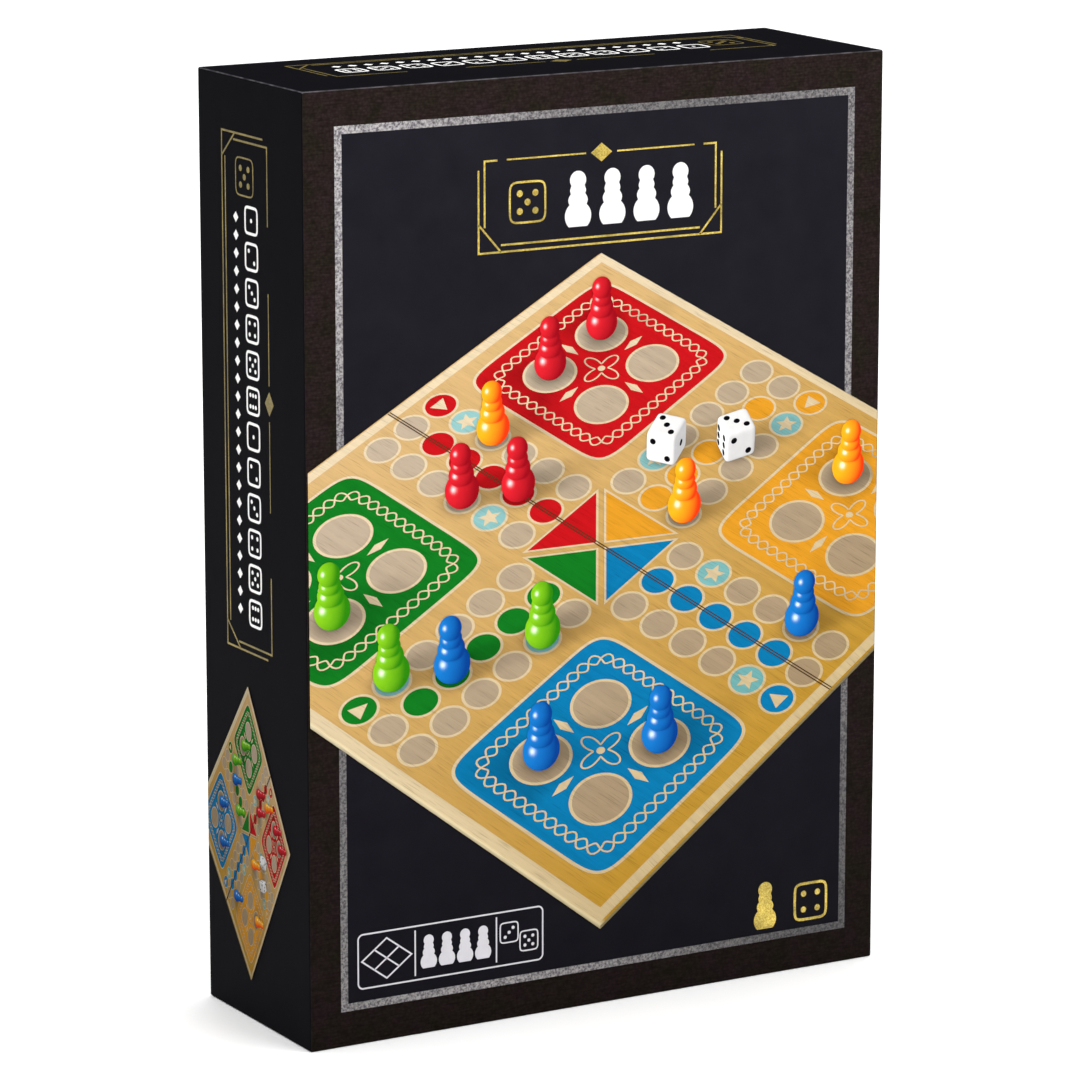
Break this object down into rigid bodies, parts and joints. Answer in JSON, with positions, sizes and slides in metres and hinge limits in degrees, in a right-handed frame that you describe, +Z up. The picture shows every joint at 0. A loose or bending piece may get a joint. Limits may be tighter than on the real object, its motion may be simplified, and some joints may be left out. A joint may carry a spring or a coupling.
{
  "type": "ludo board game",
  "caption": "Rigid lid-over-base game box in a printed paper wrap, holding a tray with a folding wooden ludo board on brass hinges, turned pawns, dice and a rules leaflet.",
  "frame": {"origin": "middle of the short face that the closed box stands on", "axes": "+Z up along the box's long side, +X to the right seen from the front, +Y into the box, so the front panel faces -Y"},
  "size_m": [0.1852, 0.0628, 0.2668],
  "materials": {
    "printed_paper": "dark printed paper, satin laminate",
    "base_paper": "plain dark paper, matt",
    "greyboard": "bare recycled greyboard",
    "riser_card": "uncoated folding card",
    "tray_plastic": "thermoformed polystyrene, satin",
    "leaflet_paper": "uncoated white paper",
    "board_wood": "printed wood grain, satin lacquer",
    "hinge_brass": "pressed brass",
    "pawn_red": "gloss lacquer on turned wood",
    "pawn_green": "gloss lacquer on turned wood",
    "pawn_yellow": "gloss lacquer on turned wood",
    "pawn_blue": "gloss lacquer on turned wood",
    "dice_plastic": "polished, with sunk pips"
  },
  "bodies": {
    "base": {"base_board": "greyboard", "base_wrap": "base_paper", "riser": "riser_card", "tray": "tray_plastic"},
    "lid": {"lid_board": "greyboard", "lid_wrap": "printed_paper"},
    "board_back": {"board_half_back": "board_wood", "hinge_upper_leaf_back": "hinge_brass", "hinge_upper_pin": "hinge_brass", "hinge_lower_leaf_back": "hinge_brass", "hinge_lower_pin": "hinge_brass", "hinge_screws_back": "hinge_brass"},
    "board_front": {"board_half_front": "board_wood", "hinge_upper_leaf_front": "hinge_brass", "hinge_lower_leaf_front": "hinge_brass", "hinge_screws_front": "hinge_brass"},
    "rules": {"rules_leaflet": "leaflet_paper"},
    "pawn_red_1": {"pawn_red_1": "pawn_red"},
    "pawn_red_2": {"pawn_red_2": "pawn_red"},
    "pawn_red_3": {"pawn_red_3": "pawn_red"},
    "pawn_red_4": {"pawn_red_4": "pawn_red"},
    "pawn_green_1": {"pawn_green_1": "pawn_green"},
    "pawn_green_2": {"pawn_green_2": "pawn_green"},
    "pawn_green_3": {"pawn_green_3": "pawn_green"},
    "pawn_green_4": {"pawn_green_4": "pawn_green"},
    "pawn_yellow_1": {"pawn_yellow_1": "pawn_yellow"},
    "pawn_yellow_2": {"pawn_yellow_2": "pawn_yellow"},
    "pawn_yellow_3": {"pawn_yellow_3": "pawn_yellow"},
    "pawn_yellow_4": {"pawn_yellow_4": "pawn_yellow"},
    "pawn_blue_1": {"pawn_blue_1": "pawn_blue"},
    "pawn_blue_2": {"pawn_blue_2": "pawn_blue"},
    "pawn_blue_3": {"pawn_blue_3": "pawn_blue"},
    "pawn_blue_4": {"pawn_blue_4": "pawn_blue"},
    "die_1": {"die_1": "dice_plastic"},
    "die_2": {"die_2": "dice_plastic"}
  },
  "joints": [
    {"name": "lid_lift", "type": "slide", "parent": "base", "child": "lid", "axis": [0, -1, 0], "range_m": [0, 0.6]},
    {"name": "board_lift", "type": "slide", "parent": "base", "child": "board_front", "axis": [0, -1, 0], "range_m": [0, 0.45]},
    {"name": "board_fold", "type": "hinge", "parent": "board_front", "child": "board_back", "pos_m": [-0.08364, -0.02175, 0.1324], "axis": [0, 0, 1], "range_deg": [0, 180]},
    {"name": "rules_lift", "type": "slide", "parent": "base", "child": "rules", "axis": [0, -1, 0], "range_m": [0, 0.03]},
    {"name": "pawn_red_1_lift", "type": "slide", "parent": "base", "child": "pawn_red_1", "axis": [0, -1, 0], "range_m": [0, 0.03]},
    {"name": "pawn_red_2_lift", "type": "slide", "parent": "base", "child": "pawn_red_2", "axis": [0, -1, 0], "range_m": [0, 0.03]},
    {"name": "pawn_red_3_lift", "type": "slide", "parent": "base", "child": "pawn_red_3", "axis": [0, -1, 0], "range_m": [0, 0.03]},
    {"name": "pawn_red_4_lift", "type": "slide", "parent": "base", "child": "pawn_red_4", "axis": [0, -1, 0], "range_m": [0, 0.03]},
    {"name": "pawn_green_1_lift", "type": "slide", "parent": "base", "child": "pawn_green_1", "axis": [0, -1, 0], "range_m": [0, 0.03]},
    {"name": "pawn_green_2_lift", "type": "slide", "parent": "base", "child": "pawn_green_2", "axis": [0, -1, 0], "range_m": [0, 0.03]},
    {"name": "pawn_green_3_lift", "type": "slide", "parent": "base", "child": "pawn_green_3", "axis": [0, -1, 0], "range_m": [0, 0.03]},
    {"name": "pawn_green_4_lift", "type": "slide", "parent": "base", "child": "pawn_green_4", "axis": [0, -1, 0], "range_m": [0, 0.03]},
    {"name": "pawn_yellow_1_lift", "type": "slide", "parent": "base", "child": "pawn_yellow_1", "axis": [0, -1, 0], "range_m": [0, 0.03]},
    {"name": "pawn_yellow_2_lift", "type": "slide", "parent": "base", "child": "pawn_yellow_2", "axis": [0, -1, 0], "range_m": [0, 0.03]},
    {"name": "pawn_yellow_3_lift", "type": "slide", "parent": "base", "child": "pawn_yellow_3", "axis": [0, -1, 0], "range_m": [0, 0.03]},
    {"name": "pawn_yellow_4_lift", "type": "slide", "parent": "base", "child": "pawn_yellow_4", "axis": [0, -1, 0], "range_m": [0, 0.03]},
    {"name": "pawn_blue_1_lift", "type": "slide", "parent": "base", "child": "pawn_blue_1", "axis": [0, -1, 0], "range_m": [0, 0.03]},
    {"name": "pawn_blue_2_lift", "type": "slide", "parent": "base", "child": "pawn_blue_2", "axis": [0, -1, 0], "range_m": [0, 0.03]},
    {"name": "pawn_blue_3_lift", "type": "slide", "parent": "base", "child": "pawn_blue_3", "axis": [0, -1, 0], "range_m": [0, 0.03]},
    {"name": "pawn_blue_4_lift", "type": "slide", "parent": "base", "child": "pawn_blue_4", "axis": [0, -1, 0], "range_m": [0, 0.03]},
    {"name": "die_1_lift", "type": "slide", "parent": "base", "child": "die_1", "axis": [0, -1, 0], "range_m": [0, 0.03]},
    {"name": "die_2_lift", "type": "slide", "parent": "base", "child": "die_2", "axis": [0, -1, 0], "range_m": [0, 0.03]}
  ],
  "couplings": [
    {"joint": "board_lift", "follows": "lid_lift", "ratio": 0.75},
    {"joint": "board_fold", "follows": "lid_lift", "rad_per_m": 5.2359},
    {"joint": "rules_lift", "follows": "lid_lift", "ratio": 0.05},
    {"joint": "pawn_red_1_lift", "follows": "lid_lift", "ratio": 0.05},
    {"joint": "pawn_red_2_lift", "follows": "lid_lift", "ratio": 0.05},
    {"joint": "pawn_red_3_lift", "follows": "lid_lift", "ratio": 0.05},
    {"joint": "pawn_red_4_lift", "follows": "lid_lift", "ratio": 0.05},
    {"joint": "pawn_green_1_lift", "follows": "lid_lift", "ratio": 0.05},
    {"joint": "pawn_green_2_lift", "follows": "lid_lift", "ratio": 0.05},
    {"joint": "pawn_green_3_lift", "follows": "lid_lift", "ratio": 0.05},
    {"joint": "pawn_green_4_lift", "follows": "lid_lift", "ratio": 0.05},
    {"joint": "pawn_yellow_1_lift", "follows": "lid_lift", "ratio": 0.05},
    {"joint": "pawn_yellow_2_lift", "follows": "lid_lift", "ratio": 0.05},
    {"joint": "pawn_yellow_3_lift", "follows": "lid_lift", "ratio": 0.05},
    {"joint": "pawn_yellow_4_lift", "follows": "lid_lift", "ratio": 0.05},
    {"joint": "pawn_blue_1_lift", "follows": "lid_lift", "ratio": 0.05},
    {"joint": "pawn_blue_2_lift", "follows": "lid_lift", "ratio": 0.05},
    {"joint": "pawn_blue_3_lift", "follows": "lid_lift", "ratio": 0.05},
    {"joint": "pawn_blue_4_lift", "follows": "lid_lift", "ratio": 0.05},
    {"joint": "die_1_lift", "follows": "lid_lift", "ratio": 0.05},
    {"joint": "die_2_lift", "follows": "lid_lift", "ratio": 0.05}
  ]
}
